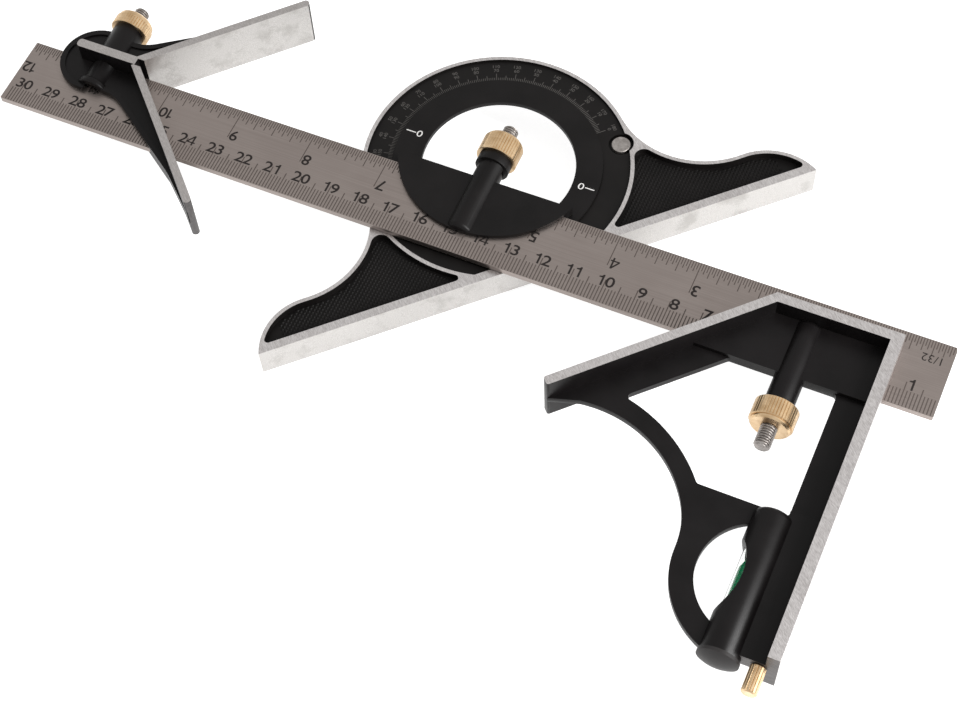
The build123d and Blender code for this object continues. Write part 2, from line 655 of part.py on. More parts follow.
def pin_world(index):
    u, v = pin_places()[index]
    turn = radians(PR_TURN)
    return (PR_X + u * cos(turn) - v * sin(turn), PR_Y + u * sin(turn) + v * cos(turn))


def make_pin_bolt(x, y):
    head = rod_z(x, y, PIN_HEAD_R, PIN_SEAT_Z, PIN_HEAD_TOP)
    head = fillet(head.edges().sort_by(Axis.Z)[-1], PIN_HEAD_FILLET)
    shank = rod_z(x, y, PIN_SHANK_R, PIN_TIP_Z, PIN_SEAT_Z)
    return head + shank


def make_pin_washer(x, y):
    top = TURRET_BACK_Z - FIT_GAP
    return rod_z(x, y, WASHER_R, top - WASHER_THICK, top) - rod_z(x, y, PIN_SHANK_R + PIN_GAP, PIN_TIP_Z, 0)


def make_pin_nut(x, y):
    blank = chamfered_rod(PIN_NUT_R, PIN_NUT_LENGTH, PIN_CHAMFER)
    blank = knurled(blank, PIN_NUT_R, PIN_NUT_LENGTH, PIN_NUT_KNURLS)
    blank -= Cylinder(PIN_SHANK_R + THREAD_GAP, 3 * PIN_NUT_LENGTH)
    top = TURRET_BACK_Z - WASHER_THICK - 2 * FIT_GAP
    return Pos(x, y, top) * Rot(180, 0, 0) * blank


# ---- centre head -------------------------------------------------------------------------------
def centre_arm(side):
    """One ground arm of the V, at 45 degrees to the rule's inch edge."""
    arm = Pos(CH_ARM / 2, side * CH_ARM_THICK / 2) * Rectangle(CH_ARM, CH_ARM_THICK)
    arm = fillet(arm.vertices().sort_by(Axis.X)[-2:], CH_ARM_THICK / 2 - FIT_GAP)
    arm = Pos(CH_APEX_X, HALF_WIDTH) * Rot(0, 0, 45 * side) * arm
    return prism(arm, -CH_ARM_HALF, CH_ARM_HALF)


def centre_outline(inset):
    """Outline of the disc around the clamp and of the webs that narrow along both arms."""
    slope = radians(CH_SLOPE)
    shift_x = inset * sin(slope)
    shift_y = inset * cos(slope)
    reach = CH_ARM / sqrt(2)
    flat_end = (CH_APEX_X + CH_FLAT_END[0], CH_FLAT_END[1] + inset)
    slope_start = (CH_APEX_X + CH_SLOPE_START[0] + shift_x, CH_SLOPE_START[1] + shift_y)
    slope_end = (CH_APEX_X + CH_SLOPE_END[0] + shift_x, CH_SLOPE_END[1] + shift_y)
    fin_end = (CH_APEX_X + reach + CH_FIN[0] + shift_x, HALF_WIDTH - reach + CH_FIN[1] + shift_y)
    edges = [
        Line((CH_APEX_X, HALF_WIDTH), (CH_BOLT_X, HALF_WIDTH)),
        Line((CH_BOLT_X, HALF_WIDTH), (CH_BOLT_X, flat_end[1])),
        Line((CH_BOLT_X, flat_end[1]), flat_end),
        Spline(flat_end, slope_start, tangents=[(1, 0), (cos(slope), -sin(slope))]),
        Line(slope_start, slope_end),
        Line(slope_end, fin_end),
        Line(fin_end, (CH_APEX_X, HALF_WIDTH)),
    ]
    lower = make_face(Wire(edges))
    upper = mirror(lower, Plane.XZ.offset(-HALF_WIDTH))
    return disc(CH_DISC_X, HALF_WIDTH, CH_DISC_R - inset) + lower + upper


def centre_web():
    """The flat plate behind the arms, with a raised outer edge on both faces."""
    web = prism(centre_outline(0), -CH_PLATE_HALF, CH_PLATE_HALF)
    web -= prism(centre_outline(CH_EDGE), CH_PANEL_HALF, CH_PLATE_HALF)
    web -= prism(centre_outline(CH_EDGE), -CH_PLATE_HALF, -CH_PANEL_HALF)
    return web


def make_centre_head():
    half = CH_RIB_WIDTH / 2
    rib = block(CH_RIB_END_X, CH_APEX_X, CH_RIB_Y - half, CH_RIB_Y + half, -CH_ARM_HALF, CH_ARM_HALF)
    rib = fillet(rib.edges().filter_by(Axis.Z).sort_by(Axis.X)[:2], CH_RIB_FILLET)
    lower_boss = rod_y(CH_BOLT_X, BOSS_R, CH_FOOT_Y, HALF_WIDTH)
    foot = rod_y(CH_BOLT_X, CH_FOOT_R, CH_FOOT_Y, CH_FOOT_Y + CH_FOOT_LENGTH)
    foot = fillet(foot.edges().filter_by(GeomType.CIRCLE), CH_FOOT_FILLET)
    back_boss = rod_y(CH_BOLT_X, BOSS_R, CH_BACK_BOSS_Y, HALF_WIDTH)
    back_boss &= block(-2 * RULE_LENGTH, 0, -THROUGH, THROUGH, -THROUGH, -SLOT_HALF)
    upper_boss = rod_y(CH_BOLT_X, CH_UPPER_BOSS_R, HALF_WIDTH, CH_NUT_Y)
    bosses = lower_boss + foot + back_boss + upper_boss
    head = centre_arm(1) + centre_arm(-1) + centre_web() + rib + bosses
    low = HALF_WIDTH - CH_RELIEF / 2
    high = HALF_WIDTH + CH_RELIEF / 2
    head -= block(CH_APEX_X - CH_RELIEF_DEPTH, CH_APEX_X + CH_RELIEF, low, high, -THROUGH, THROUGH)
    head -= rule_slot(-2 * RULE_LENGTH, 0, -SEAT - CH_SLOT_GAP, SEAT)
    head -= clamp_bore(CH_BOLT_X, 1, CH_NUT_Y)
    return head


# ---- build every node --------------------------------------------------------------------------
def build():
    nodes = {
        "rule": make_rule(),
        "square_head_body": make_square_head(),
        "level_vial": make_vial(),
        "level_liquid": make_level_liquid(),
        "level_vial_plug": make_vial_plug(),
        "level_vial_spacer": make_vial_spacer(),
        "level_end_cap": make_level_cap(),
        "scriber_needle": make_scriber_needle(),
        "scriber_knob": make_scriber_knob(),
        "scriber_bush": make_scriber_bush(),
        "protractor_body": make_protractor_body(),
        "protractor_turret": make_turret(),
        "centre_head_body": make_centre_head(),
    }
    clamps = {
        "square": (SQ_BOLT_X, -1, SQ_NUT_Y, SQ_NUT_LENGTH, SQ_NUT_HUB, SQ_BOLT_TIP),
        "protractor": (PR_BOLT_X, 1, PR_NUT_Y, PR_NUT_LENGTH, PR_NUT_HUB, PR_BOLT_TIP),
        "centre": (CH_BOLT_X, 1, CH_NUT_Y, CH_NUT_LENGTH, CH_NUT_HUB, CH_BOLT_TIP),
    }
    for head, (x, side, nut_y, nut_length, nut_hub, tip_y) in clamps.items():
        nodes[f"{head}_lock_bolt"] = clamp_bolt(x, side, tip_y)
        nodes[f"{head}_lock_nut"] = clamp_nut(x, side, nut_y, nut_length, nut_hub)
        nodes[f"{head}_lock_spring"] = clamp_spring(x, side)
    for index, label in enumerate(("right", "left")):
        x, y = pin_world(index)
        nodes[f"turret_clamp_bolt_{label}"] = make_pin_bolt(x, y)
        nodes[f"turret_clamp_washer_{label}"] = make_pin_washer(x, y)
        nodes[f"turret_clamp_nut_{label}"] = make_pin_nut(x, y)
    return nodes


for node, shape in build().items():
    save(node, shape)
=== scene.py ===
"""Looks of the combination square: painted castings with ground faces, engraved scales, brass and level."""

import json
import math

import bmesh
import bpy
from mathutils import Euler, Matrix, Vector
from mathutils.bvhtree import BVHTree


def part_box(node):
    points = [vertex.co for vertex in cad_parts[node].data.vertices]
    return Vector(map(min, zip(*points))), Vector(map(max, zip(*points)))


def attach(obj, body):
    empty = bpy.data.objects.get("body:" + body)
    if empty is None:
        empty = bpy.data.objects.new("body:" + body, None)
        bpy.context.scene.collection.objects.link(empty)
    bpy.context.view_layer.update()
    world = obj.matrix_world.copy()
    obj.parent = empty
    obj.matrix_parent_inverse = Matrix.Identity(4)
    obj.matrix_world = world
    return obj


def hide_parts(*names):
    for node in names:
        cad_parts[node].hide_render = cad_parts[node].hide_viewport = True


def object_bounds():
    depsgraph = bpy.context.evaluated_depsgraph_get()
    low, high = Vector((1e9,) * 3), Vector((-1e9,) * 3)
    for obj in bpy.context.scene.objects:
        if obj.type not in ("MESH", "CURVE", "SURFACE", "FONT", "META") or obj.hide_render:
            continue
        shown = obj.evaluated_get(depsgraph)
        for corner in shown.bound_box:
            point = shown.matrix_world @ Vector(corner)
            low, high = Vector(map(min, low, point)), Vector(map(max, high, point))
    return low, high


MM = 0.001
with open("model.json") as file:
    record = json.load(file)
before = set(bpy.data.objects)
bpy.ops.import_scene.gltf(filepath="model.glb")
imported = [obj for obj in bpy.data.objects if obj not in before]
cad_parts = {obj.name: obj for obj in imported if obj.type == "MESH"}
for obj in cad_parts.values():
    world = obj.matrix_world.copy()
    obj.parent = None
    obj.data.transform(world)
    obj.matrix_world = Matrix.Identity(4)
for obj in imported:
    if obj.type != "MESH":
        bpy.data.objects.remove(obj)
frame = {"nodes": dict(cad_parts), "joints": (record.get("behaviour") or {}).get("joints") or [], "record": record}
nodes = frame["nodes"]
cad_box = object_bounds()
record = frame["record"]
joints = {j["name"]: j for j in frame["joints"]}

# ------------------------------------------------------------------ materials


class Finish:
    """A Principled material whose pattern is laid in object coordinates, in millimetres."""

    def __init__(self, name, **sockets):
        self.material = bpy.data.materials.new(name)
        self.material.use_nodes = True
        self.tree = self.material.node_tree
        self.shader = self.tree.nodes["Principled BSDF"]
        for key, value in sockets.items():
            self.shader.inputs[key.replace("_", " ")].default_value = value
        self.height = None

    def node(self, kind, **values):
        made = self.tree.nodes.new(kind)
        for key, value in values.items():
            setattr(made, key, value)
        return made

    def link(self, out, into):
        self.tree.links.new(out, into)

    def place(self, scale=(1, 1, 1), turn=0.0):
        """Object coordinates in mm, turned about Z and scaled per axis."""
        coordinates = self.node("ShaderNodeTexCoord").outputs["Object"]
        turned = self.node("ShaderNodeMapping")
        turned.inputs["Rotation"].default_value = (0, 0, math.radians(turn))
        turned.inputs["Scale"].default_value = (1000, 1000, 1000)
        self.link(coordinates, turned.inputs["Vector"])
        scaled = self.node("ShaderNodeMapping")
        scaled.inputs["Scale"].default_value = scale
        self.link(turned.outputs["Vector"], scaled.inputs["Vector"])
        return scaled.outputs["Vector"]

    def noise(self, scale=(1, 1, 1), turn=0.0, detail=3.0, rough=0.55):
        made = self.node("ShaderNodeTexNoise")
        made.inputs["Scale"].default_value = 1.0
        made.inputs["Detail"].default_value = detail
        made.inputs["Roughness"].default_value = rough
        self.link(self.place(scale, turn), made.inputs["Vector"])
        return made.outputs["Fac"]

    def spread(self, value, low, high, start=0.3, end=0.7):
        """The value's start to end spread over low to high."""
        made = self.node("ShaderNodeMapRange")
        for key, number in (("From Min", start), ("From Max", end), ("To Min", low), ("To Max", high)):
            made.inputs[key].default_value = number
        self.link(value, made.inputs["Value"])
        return made.outputs["Result"]

    def blend(self, fac, first, second):
        """A colour from first, at 0, to second, at 1. Either may be a colour or a socket."""
        made = self.node("ShaderNodeMix", data_type="RGBA")
        for socket, colour in ((made.inputs[6], first), (made.inputs[7], second)):
            if isinstance(colour, tuple):
                socket.default_value = (*colour, 1)
            else:
                self.link(colour, socket)
        self.link(fac, made.inputs["Factor"])
        return made.outputs[2]

    def math(self, operation, first, second):
        made = self.node("ShaderNodeMath", operation=operation)
        for socket, value in zip(made.inputs, (first, second)):
            if isinstance(value, (int, float)):
                socket.default_value = value
            else:
                self.link(value, socket)
        return made.outputs[0]

    def colour(self, socket):
        self.link(socket, self.shader.inputs["Base Color"])
        return self

    def roughness(self, socket):
        self.link(socket, self.shader.inputs["Roughness"])
        return self

    def bump(self, height, depth, strength=1.0):
        """A relief of that depth, in mm."""
        made = self.node("ShaderNodeBump")
        made.inputs["Strength"].default_value = strength
        made.inputs["Distance"].default_value = depth * MM
        self.link(height, made.inputs["Height"])
        if self.height is not None:
            self.link(self.height, made.inputs["Normal"])
        self.height = made.outputs["Normal"]
        self.link(self.height, self.shader.inputs["Normal"])
        return self


def brushed_steel(name, dark, light, along, rough, depth):
    """Steel rubbed along one direction, with faint cloudy stains. depth is that of the lines, in mm."""
    made = Finish(name, Metallic=1.0)
    lines = made.noise(along, detail=4)
    clouds = made.noise((0.06, 0.06, 0.06), detail=3)
    tone = made.math("ADD", made.math("MULTIPLY", lines, 0.65), made.math("MULTIPLY", clouds, 0.35))
    made.colour(made.blend(made.spread(tone, 0, 1, 0.38, 0.62), dark, light))
    made.roughness(made.spread(lines, *rough))
    made.bump(lines, depth)
    return made.material


def ground_face(name, dark, light, rough, stain):
    """A face ground on a wheel: scratches in two slanting directions and a few dull stains."""
    made = Finish(name, Metallic=1.0)
    first = made.noise((0.7, 5.5, 5.5), turn=38, detail=4)
    second = made.noise((1.1, 7.0, 7.0), turn=62, detail=4)
    lines = made.math("ADD", made.math("MULTIPLY", first, 0.6), made.math("MULTIPLY", second, 0.4))
    stains = made.spread(made.noise((0.11, 0.11, 0.11), detail=5, rough=0.62), 0, stain, 0.52, 0.70)
    tone = made.math("SUBTRACT", made.spread(lines, 0, 1, 0.38, 0.60), stains)
    made.colour(made.blend(tone, dark, light))
    made.roughness(made.spread(lines, *rough))
    made.bump(lines, 0.0015)
    return made.material


def satin_paint(name, dark, light, rough, grain):
    """Baked paint on a casting: fine orange peel, slight unevenness and dust-dulled patches."""
    made = Finish(name, Specular_IOR_Level=0.17)
    peel = made.noise((1.6, 1.6, 1.6), detail=3)
    fine = made.noise((6, 6, 6), detail=2)
    patches = made.noise((0.09, 0.09, 0.09), detail=4)
    made.colour(made.blend(made.spread(patches, 0, 1, 0.35, 0.65), dark, light))
    made.roughness(made.spread(made.math("ADD", made.math("MULTIPLY", patches, 0.6),
                                         made.math("MULTIPLY", fine, 0.4)), *rough))
    made.bump(peel, grain).bump(fine, grain * 0.25)
    return made.material


def bare_cast(name, dark, light):
    """A sawn or fettled end of a casting: dull, grainy metal."""
    made = Finish(name, Metallic=1.0)
    grain = made.noise((1.3, 1.3, 1.3), detail=6, rough=0.7)
    lines = made.noise((0.5, 0.5, 4.0), detail=3)
    tone = made.math("ADD", made.math("MULTIPLY", grain, 0.6), made.math("MULTIPLY", lines, 0.4))
    made.colour(made.blend(made.spread(tone, 0, 1, 0.35, 0.65), dark, light))
    made.roughness(made.spread(grain, 0.42, 0.62))
    made.bump(grain, 0.05)
    return made.material


def turned_brass(name):
    """Machined brass, a little tarnished in the cuts."""
    made = Finish(name, Metallic=1.0)
    clouds = made.noise((0.22, 0.22, 0.22), detail=4)
    rings = made.noise((0.3, 5.0, 0.3), detail=3)
    tone = made.math("ADD", made.math("MULTIPLY", clouds, 0.7), made.math("MULTIPLY", rings, 0.3))
    made.colour(made.blend(made.spread(tone, 0, 1, 0.35, 0.65), (0.46, 0.30, 0.155), (0.78, 0.585, 0.37)))
    made.roughness(made.spread(tone, 0.36, 0.24))
    made.bump(rings, 0.002)
    return made.material


def flat_mark(name, colour, rough=0.5):
    """Paint or oxide that fills an engraved mark, slightly uneven."""
    made = Finish(name, Specular_IOR_Level=0.15)
    grain = made.noise((4, 4, 4), detail=3)
    darker = tuple(c * 0.7 for c in colour)
    made.colour(made.blend(made.spread(grain, 0, 1), darker, colour))
    made.roughness(made.spread(grain, rough, rough + 0.15))
    made.bump(grain, 0.004)
    return made.material


PAINT = satin_paint(
    "black_enamel", (0.0030, 0.0024, 0.0025), (0.0050, 0.0041, 0.0043), rough=(0.32, 0.44), grain=0.012)
DIAL_PAINT = satin_paint(
    "dial_enamel", (0.0024, 0.0019, 0.0018), (0.0042, 0.0034, 0.0032), rough=(0.42, 0.54), grain=0.014)
TURRET_PAINT = satin_paint(
    "turret_enamel", (0.0026, 0.0021, 0.0021), (0.0045, 0.0037, 0.0037), rough=(0.36, 0.48), grain=0.012)
CAP_PAINT = satin_paint(
    "cap_enamel", (0.016, 0.0145, 0.0145), (0.026, 0.024, 0.024), rough=(0.40, 0.52), grain=0.012)
RULE_STEEL = brushed_steel(
    "rule_satin_steel", (0.262, 0.224, 0.207), (0.306, 0.265, 0.246), (0.02, 3.0, 3.0), (0.34, 0.40), 0.0006)
GROUND = ground_face(
    "ground_face", (0.42, 0.395, 0.39), (0.66, 0.635, 0.63), rough=(0.30, 0.42), stain=0.18)
POLISHED = ground_face(
    "ground_reference_face", (0.36, 0.345, 0.33), (0.60, 0.585, 0.57), rough=(0.32, 0.44), stain=0.55)
ARM_EDGE = ground_face(
    "ground_arm_edge", (0.33, 0.31, 0.30), (0.50, 0.475, 0.465), rough=(0.32, 0.44), stain=0.2)
BARE = bare_cast("bare_casting", (0.07, 0.066, 0.066), (0.17, 0.162, 0.16))
BRASS = turned_brass("turned_brass")
BOLT_STEEL = brushed_steel(
    "bolt_steel", (0.24, 0.22, 0.208), (0.39, 0.365, 0.348), (0.9, 0.9, 0.9), (0.42, 0.52), 0.0004)
SPRING_STEEL = brushed_steel(
    "spring_wire", (0.25, 0.24, 0.23), (0.45, 0.44, 0.42), (2, 2, 2), (0.25, 0.35), 0.0006)
NEEDLE_STEEL = brushed_steel(
    "needle_steel", (0.35, 0.35, 0.36), (0.55, 0.55, 0.56), (3, 0.1, 3), (0.2, 0.3), 0.004)
ETCH = flat_mark("etched_mark", (0.072, 0.058, 0.052))
INK = flat_mark("etched_number", (0.016, 0.013, 0.012))
GREY_MARK = flat_mark("dial_mark", (0.082, 0.077, 0.073))
WHITE_MARK = flat_mark("index_mark", (0.66, 0.65, 0.635))

glass = Finish("vial_glass", Transmission_Weight=1.0, IOR=1.10)
glass.shader.inputs["Base Color"].default_value = (0.98, 1.0, 0.985, 1)
glass.roughness(glass.spread(glass.noise((0.5, 0.5, 0.5)), 0.0, 0.03))
liquid = Finish("vial_liquid", Transmission_Weight=0.15, IOR=1.36, Roughness=0.05, Specular_IOR_Level=0.2)
liquid.colour(liquid.blend(liquid.noise((0.3, 0.3, 0.3)), (0.006, 0.16, 0.065), (0.012, 0.26, 0.105)))
plug = Finish("vial_plug_resin", Specular_IOR_Level=0.4)
plug.colour(plug.blend(plug.noise((0.8, 0.8, 0.8)), (0.30, 0.29, 0.25), (0.42, 0.40, 0.36)))
plug.roughness(plug.spread(plug.noise((2, 2, 2)), 0.4, 0.6))

SLOTS = {
    "rule_steel": RULE_STEEL,
    "black_casting": PAINT,
    "dial_casting": DIAL_PAINT,
    "turret_paint": TURRET_PAINT,
    "bolt_steel": BOLT_STEEL,
    "nut_brass": BRASS,
    "spring_steel": SPRING_STEEL,
    "vial_glass": glass.material,
    "vial_liquid": liquid.material,
    "vial_plug": plug.material,
    "cap_paint": CAP_PAINT,
    "needle_steel": NEEDLE_STEEL,
}
for node in nodes.values():
    for index, material in enumerate(node.data.materials):
        node.data.materials[index] = SLOTS[material.name.split(".")[0]]

# ------------------------------------------------------------------ mesh helpers


def new_piece(name, bm, materials, body, smooth=None):
    """A mesh object from bm, riding on a body. smooth is the crease angle in degrees."""
    mesh = bpy.data.meshes.new(name)
    bm.to_mesh(mesh)
    bm.free()
    for material in materials:
        mesh.materials.append(material)
    if smooth is not None:
        mesh.shade_smooth()
        mesh.set_sharp_from_angle(angle=math.radians(smooth))
    made = bpy.data.objects.new(name, mesh)
    bpy.context.scene.collection.objects.link(made)
    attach(made, body)
    return made


def body_of_node(name):
    return next(b for b, members in record["behaviour"]["bodies"].items() if name in members)


SAME_POINT = 0.002
FLAT_ANGLE = 0.3
SHARP_ANGLE = 38
CREASE_ANGLE = 32
LARGE_FACE = 60 * MM**2
UPRIGHT = 0.9995


def copied(name):
    """The node's solid as a clean bmesh: joined vertices and flat faces in one polygon each."""
    bm = bmesh.new()
    bm.from_mesh(nodes[name].data)
    bmesh.ops.remove_doubles(bm, verts=bm.verts, dist=SAME_POINT * MM)
    bmesh.ops.dissolve_limit(bm, angle_limit=math.radians(FLAT_ANGLE), verts=bm.verts, edges=bm.edges)
    return bm


def rounded(bm, width):
    """Rounds the sharp edges by a width in mm."""
    sharp = [e for e in bm.edges
             if len(e.link_faces) == 2 and e.calc_face_angle(0) > math.radians(SHARP_ANGLE)]
    bmesh.ops.bevel(bm, geom=sharp, offset=width * MM, segments=2, profile=0.6, affect="EDGES",
                    clamp_overlap=True)


def casting(name, chooser, materials, width):
    """Replaces a cast node: rounded edges, and each face in the finish that chooser picks.

    chooser gets a face's middle, in mm, and its normal, and returns an index into materials.
    Flat faces are shaded flat, so that the rounded edges don't shade across them.
    """
    bm = copied(name)
    rounded(bm, width)
    bm.normal_update()
    for face in bm.faces:
        face.material_index = chooser(face.calc_center_median() / MM, face.normal)
    made = new_piece(name + "_finished", bm, materials, body_of_node(name), smooth=CREASE_ANGLE)
    for face in made.data.polygons:
        if abs(face.normal.z) > UPRIGHT or face.area > LARGE_FACE:
            face.use_smooth = False
    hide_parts(name)
    return made


# ------------------------------------------------------------------ castings

def corner_points(name):
    """The corners of a node's mesh, in mm."""
    return [v.co / MM for v in nodes[name].data.vertices]


FACE_BAND = 0.3     # a face within this of the casting's outside is its ground outside
FACING = 0.9        # least share of a face's normal along the direction that it faces
FACING_RIM = 0.75   # the same for the rims, whose rounded edges belong to them

square_points = corner_points("square_head_body")
SQUARE_RIGHT, SQUARE_TOP, SQUARE_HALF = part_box("square_head_body")[1] / MM
MITRE = Vector((-1, 1, 0)).normalized()
MITRE_REACH = max(MITRE.dot(p) for p in square_points)
SQUARE_HEEL = min(p.y for p in square_points if p.x > SQUARE_RIGHT - 1)


def square_finish(c, n):
    """0 is painted, 1 ground and 2 bare."""
    if abs(n.z) > FACING_RIM and abs(c.z) > SQUARE_HALF - FACE_BAND:
        return 1
    if n.x > FACING and c.x > SQUARE_RIGHT - FACE_BAND:
        return 1
    if n.y > FACING and c.y > SQUARE_TOP - FACE_BAND:
        return 1
    if n.dot(MITRE) > FACING and c.dot(MITRE) > MITRE_REACH - FACE_BAND:
        return 1
    if n.y < -FACING and abs(c.y - SQUARE_HEEL) < FACE_BAND:
        return 2
    return 0


casting("square_head_body", square_finish, [PAINT, GROUND, BARE], 0.35)

DIAL = Vector(joints["protractor_turn"]["pos_m"]) / MM
BASE_TURN = math.radians(43.6)
BASE_OUT = Vector((math.sin(BASE_TURN), -math.cos(BASE_TURN), 0))
BASE_ALONG = Vector((math.cos(BASE_TURN), math.sin(BASE_TURN), 0))
protractor_points = corner_points("protractor_body")
PR_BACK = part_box("protractor_body")[0].z / MM
PR_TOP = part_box("protractor_body")[1].z / MM
BASE_REACH = max(BASE_OUT.dot(p) for p in protractor_points)
BASE_ENDS = [f(BASE_ALONG.dot(p) for p in protractor_points) for f in (min, max)]
END_BAND = 0.4


def protractor_finish(c, n):
    """0 is painted, 1 ground and 2 the polished base."""
    if n.z > FACING_RIM and c.z > PR_TOP - FACE_BAND:
        return 1
    if n.z < -FACING_RIM and c.z < PR_BACK + FACE_BAND:
        return 1
    if n.dot(BASE_OUT) > FACING and c.dot(BASE_OUT) > BASE_REACH - FACE_BAND:
        return 2
    for end in BASE_ENDS:
        if abs(n.dot(BASE_ALONG)) > FACING and abs(c.dot(BASE_ALONG) - end) < END_BAND:
            return 1
    return 0


casting("protractor_body", protractor_finish, [DIAL_PAINT, GROUND, POLISHED], 0.3)
casting("protractor_turret", lambda c, n: 0, [TURRET_PAINT], 0.25)

V_APEX = Vector((-265.0, 12.0, 0.0))
ARM_NORMALS = [Vector((1, side, 0)).normalized() for side in (-1, 1)]
ARM_LENGTH = 58.0
ARM_END_BAND = 1.5
CENTRE_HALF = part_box("centre_head_body")[1].z / MM


def centre_finish(c, n):
    """0 is painted, 1 the ground edge, 2 the ground inside of the V and 3 bare."""
    if abs(n.z) > FACING_RIM and abs(c.z) > CENTRE_HALF - FACE_BAND:
        return 1
    for normal in ARM_NORMALS:
        along = Vector((-normal.y, normal.x, 0)) if normal.y < 0 else Vector((normal.y, -normal.x, 0))
        if n.dot(normal) > FACING and abs((c - V_APEX).dot(normal)) < END_BAND:
            return 2
        if n.dot(along) > 0.7 and (c - V_APEX).dot(along) > ARM_LENGTH - ARM_END_BAND:
            return 3
    return 0


casting("centre_head_body", centre_finish, [PAINT, ARM_EDGE, POLISHED, BARE], 0.35)

# ------------------------------------------------------------------ scales


def add_box(bm, x, y, z, turn=None):
    """A box from three (low, high) pairs in mm, optionally turned by a matrix about the origin."""
    corners = [Vector((a, b, c)) * MM for c in z for b in y for a in x]
    if turn is not None:
        corners = [turn @ corner for corner in corners]
    v = [bm.verts.new(corner) for corner in corners]
    for side in ((0, 2, 3, 1), (4, 5, 7, 6), (0, 1, 5, 4), (1, 3, 7, 5), (3, 2, 6, 7), (2, 0, 4, 6)):
        bm.faces.new([v[i] for i in side])


# The 1 and the 4, one unit high, as loops that share edges: the typeface's own are too wide or too tight.
DRAWN = {
    "1": [((0.22, 0), (0.36, 0), (0.36, 1), (0.25, 1), (0.17, 0.86), (0, 0.81), (0, 0.70), (0.22, 0.70))],
    "4": [((0.42, 0), (0.55, 0), (0.55, 1), (0.42, 1)),
          ((0.00, 0.23), (0.42, 0.23), (0.42, 0.35), (0.00, 0.35)),
          ((0.55, 0.23), (0.68, 0.23), (0.68, 0.35), (0.55, 0.35)),
          ((0.00, 0.35), (0.14, 0.35), (0.42, 0.77), (0.42, 1))],
}
BOLD = 0.012  # how far the rule's figures are thickened, as a share of their size
MARK_THICK = 0.06
glyphs = {}


def drawn_number(outlines):
    """A figure one unit high from its own outlines, each an anticlockwise loop."""
    bm = bmesh.new()
    for outline in outlines:
        sheets = [[bm.verts.new((x, y, z)) for x, y in outline] for z in (-0.5, 0.5)]
        bm.faces.new(sheets[0][::-1])
        bm.faces.new(sheets[1])
        for k in range(len(outline)):
            follow = (k + 1) % len(outline)
            bm.faces.new((sheets[0][k], sheets[0][follow], sheets[1][follow], sheets[1][k]))
    mesh = bpy.data.meshes.new("number")
    bm.to_mesh(mesh)
    bm.free()
    return mesh


def number_outline(text, weight):
    """A number set in the built-in typeface, as a mesh."""
    curve = bpy.data.curves.new("number", "FONT")
    curve.body = text
    curve.size = 1.0
    curve.extrude = 0.5
    curve.offset = weight
    curve.resolution_u = 3
    holder = bpy.data.objects.new("number", curve)
    bpy.context.scene.collection.objects.link(holder)
    mesh = bpy.data.meshes.new_from_object(holder.evaluated_get(bpy.context.evaluated_depsgraph_get()))
    bpy.data.objects.remove(holder)
    bpy.data.curves.remove(curve)
    return mesh


def glyph(text, height, weight):
    """A solid number centred on the origin, of a height in mm."""
    key = (text, height, weight)
    if key not in glyphs:
        mesh = drawn_number(DRAWN[text]) if text in DRAWN else number_outline(text, weight)
        low = Vector([min(v.co[i] for v in mesh.vertices) for i in range(3)])
        high = Vector([max(v.co[i] for v in mesh.vertices) for i in range(3)])
        scale = height * MM / (high.y - low.y)
        middle = Matrix.Translation(-(low + high) / 2)
        mesh.transform(Matrix.Diagonal((scale, scale, MARK_THICK * MM, 1)) @ middle)
        mesh["width"] = (high.x - low.x) * scale / MM
        glyphs[key] = mesh
    return glyphs[key]


def add_number(bm, text, height, place, weight=0.0, wide=1.0):
    """Adds a number by a matrix that places its centre. wide stretches it."""
    mesh = glyph(text, height, weight).copy()
    mesh.transform(place @ Matrix.Diagonal((wide, 1, 1, 1)))
    bm.from_mesh(mesh)
    bpy.data.meshes.remove(mesh)


def spot_at(x, y, z):
    """A matrix that moves the origin to a point given in mm."""
    return Matrix.Translation(Vector((x, y, z)) * MM)


RULE_LOW, RULE_HIGH = (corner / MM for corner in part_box("rule"))
INCH = 25.4
INCH_PARTS = 32
MARK_PROUD = 0.012
RULE_Z = (RULE_HIGH.z + MARK_PROUD - MARK_THICK, RULE_HIGH.z + MARK_PROUD)
RULE_MID = sum(RULE_Z) / 2
EDGE_GAP = 0.15
CM_TICK_HALF = 0.17
INCH_TICK_HALF = 0.15


def centimetre_tick(number):
    """Length of a millimetre mark."""
    return 8.2 if number % 10 == 0 else 7.4 if number % 5 == 0 else 5.4


def inch_tick(number):
    """Length of a mark at that many thirty-seconds of an inch."""
    for every, length in ((32, 11.0), (8, 5.4), (4, 4.5), (2, 3.6)):
        if number % every == 0:
            return length
    return 2.7


ticks = bmesh.new()
for number in range(1, int(-RULE_LOW.x)):
    y = (RULE_LOW.y + EDGE_GAP, RULE_LOW.y + centimetre_tick(number))
    add_box(ticks, (-number - CM_TICK_HALF, -number + CM_TICK_HALF), y, RULE_Z)
for number in range(1, round(-RULE_LOW.x / INCH * INCH_PARTS)):
    x = -number * INCH / INCH_PARTS
    y = (RULE_HIGH.y - inch_tick(number), RULE_HIGH.y - EDGE_GAP)
    add_box(ticks, (x - INCH_TICK_HALF, x + INCH_TICK_HALF), y, RULE_Z)
new_piece("rule_graduations", ticks, [ETCH], "rule")

CM_DIGIT = 3.75
CM_DIGIT_Y = -4.3
CM_DIGIT_WIDE = 1.16
DIGIT_STEP = 2.9
INCH_DIGIT = 3.9
INCH_DIGIT_Y = 2.2
INCH_DIGIT_WIDE = 1.08
INCH_DIGIT_GAP = 0.5
UPSIDE_DOWN = Matrix.Rotation(math.pi, 4, "Z")
SCALE_LABEL = 2.6
SCALE_LABEL_AT = (-5.9, 5.8)

